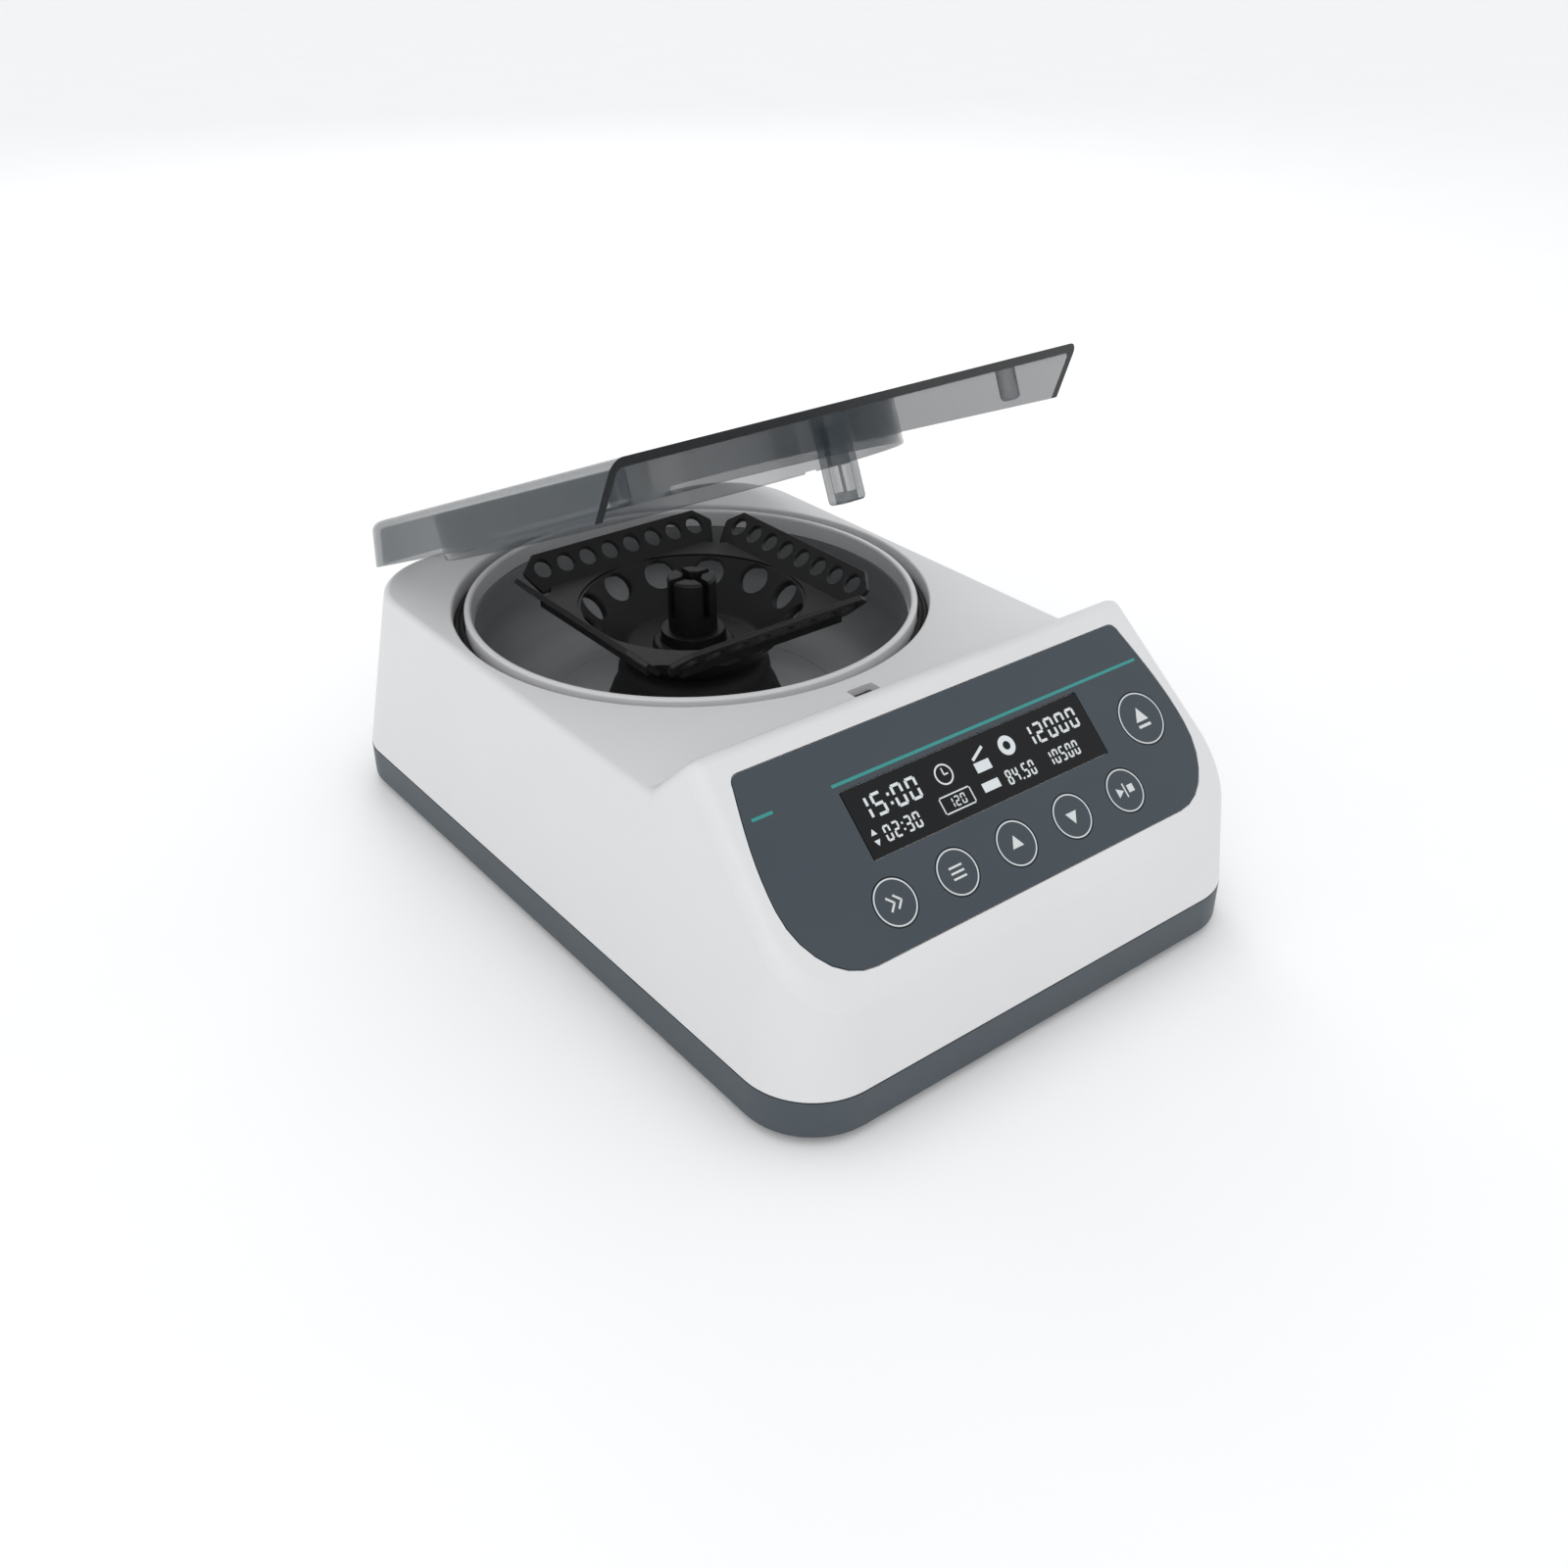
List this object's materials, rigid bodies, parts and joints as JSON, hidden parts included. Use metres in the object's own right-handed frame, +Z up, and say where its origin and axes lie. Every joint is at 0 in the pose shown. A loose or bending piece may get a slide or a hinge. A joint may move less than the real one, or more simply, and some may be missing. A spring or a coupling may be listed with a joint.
{
  "type": "laboratory centrifuge",
  "caption": "Compact benchtop centrifuge with a sloping control panel, a round metal chamber, a combined tube and strip rotor, and a clear hinged lid held by a latch.",
  "frame": {"origin": "middle of the footprint, level with the soles of the feet", "axes": "+Z up, -Y out of the control panel at the front, +X to the right of a user facing the panel"},
  "size_m": [0.1798, 0.2596, 0.1634],
  "materials": {
    "white_case": "fine moulded satin",
    "slate_base": "fine moulded satin",
    "panel_overlay": "printed polyester overlay, fine matt",
    "black_rubber": "matt moulded",
    "bright_steel": "turned and plated",
    "chamber_metal": "bead blasted satin",
    "circuit_board": "solder mask",
    "smoked_lid": "clear smoked polycarbonate, polished",
    "rotor_polymer": "fine moulded satin",
    "black_plastic": "moulded",
    "display": "dark display window with white segments"
  },
  "bodies": {
    "case": {"base_screw_0": "bright_steel", "base_screw_1": "bright_steel", "base_screw_2": "bright_steel", "base_screw_3": "bright_steel", "base_tray": "slate_base", "chamber_bowl": "chamber_metal", "chamber_rim": "white_case", "control_board": "circuit_board", "display_glass": "display", "display_module": "black_plastic", "foot_0": "black_rubber", "foot_1": "black_rubber", "foot_2": "black_rubber", "foot_3": "black_rubber", "groove_seal": "black_rubber", "hinge_bracket_left": "white_case", "hinge_bracket_right": "white_case", "hinge_pin_left": "bright_steel", "hinge_pin_right": "bright_steel", "latch_body": "black_plastic", "motor": "bright_steel", "motor_boot": "black_rubber", "motor_plate": "bright_steel", "panel_overlay": "panel_overlay", "power_board": "circuit_board", "power_inlet": "black_plastic", "shock_mount_0": "black_rubber", "shock_mount_1": "black_rubber", "shock_mount_2": "black_rubber", "shock_mount_3": "black_rubber", "switch_body": "black_plastic", "upper_shell": "white_case"},
    "lid": {"lid_shell": "smoked_lid"},
    "rotor": {"motor_shaft": "bright_steel", "rotor_body": "rotor_polymer", "rotor_clutch": "rotor_polymer"},
    "bolt": {"latch_bolt": "bright_steel"},
    "rocker": {"power_rocker": "black_plastic"},
    "key_0": {"key_0": "panel_overlay"},
    "key_1": {"key_1": "panel_overlay"},
    "key_2": {"key_2": "panel_overlay"},
    "key_3": {"key_3": "panel_overlay"},
    "key_4": {"key_4": "panel_overlay"},
    "lid_open_key": {"lid_open_key": "panel_overlay"}
  },
  "joints": [
    {"name": "lid_hinge", "type": "hinge", "parent": "case", "child": "lid", "pos_m": [0, 0.12326, 0.0695], "axis": [-1, 0, 0], "range_deg": [-23, 52]},
    {"name": "rotor_spin", "type": "hinge", "parent": "case", "child": "rotor", "pos_m": [0, 0.0398, 0.06], "axis": [0, 0, 1], "continuous": true},
    {"name": "latch_slide", "type": "slide", "parent": "case", "child": "bolt", "axis": [0, 1, 0], "range_m": [0, 0.005], "stiffness_N_per_m": 150},
    {"name": "rocker_tilt", "type": "hinge", "parent": "case", "child": "rocker", "pos_m": [-0.045, 0.12528, 0.03982], "axis": [1, 0, 0], "range_deg": [-16, 0]},
    {"name": "key_0_press", "type": "slide", "parent": "case", "child": "key_0", "axis": [0, 0.6722, -0.7403], "range_m": [0, 0.0005], "stiffness_N_per_m": 1500},
    {"name": "key_1_press", "type": "slide", "parent": "case", "child": "key_1", "axis": [0, 0.6722, -0.7403], "range_m": [0, 0.0005], "stiffness_N_per_m": 1500},
    {"name": "key_2_press", "type": "slide", "parent": "case", "child": "key_2", "axis": [0, 0.6722, -0.7403], "range_m": [0, 0.0005], "stiffness_N_per_m": 1500},
    {"name": "key_3_press", "type": "slide", "parent": "case", "child": "key_3", "axis": [0, 0.6722, -0.7403], "range_m": [0, 0.0005], "stiffness_N_per_m": 1500},
    {"name": "key_4_press", "type": "slide", "parent": "case", "child": "key_4", "axis": [0, 0.6722, -0.7403], "range_m": [0, 0.0005], "stiffness_N_per_m": 1500},
    {"name": "lid_open_key_press", "type": "slide", "parent": "case", "child": "lid_open_key", "axis": [0, 0.6722, -0.7403], "range_m": [0, 0.0005], "stiffness_N_per_m": 1500}
  ]
}
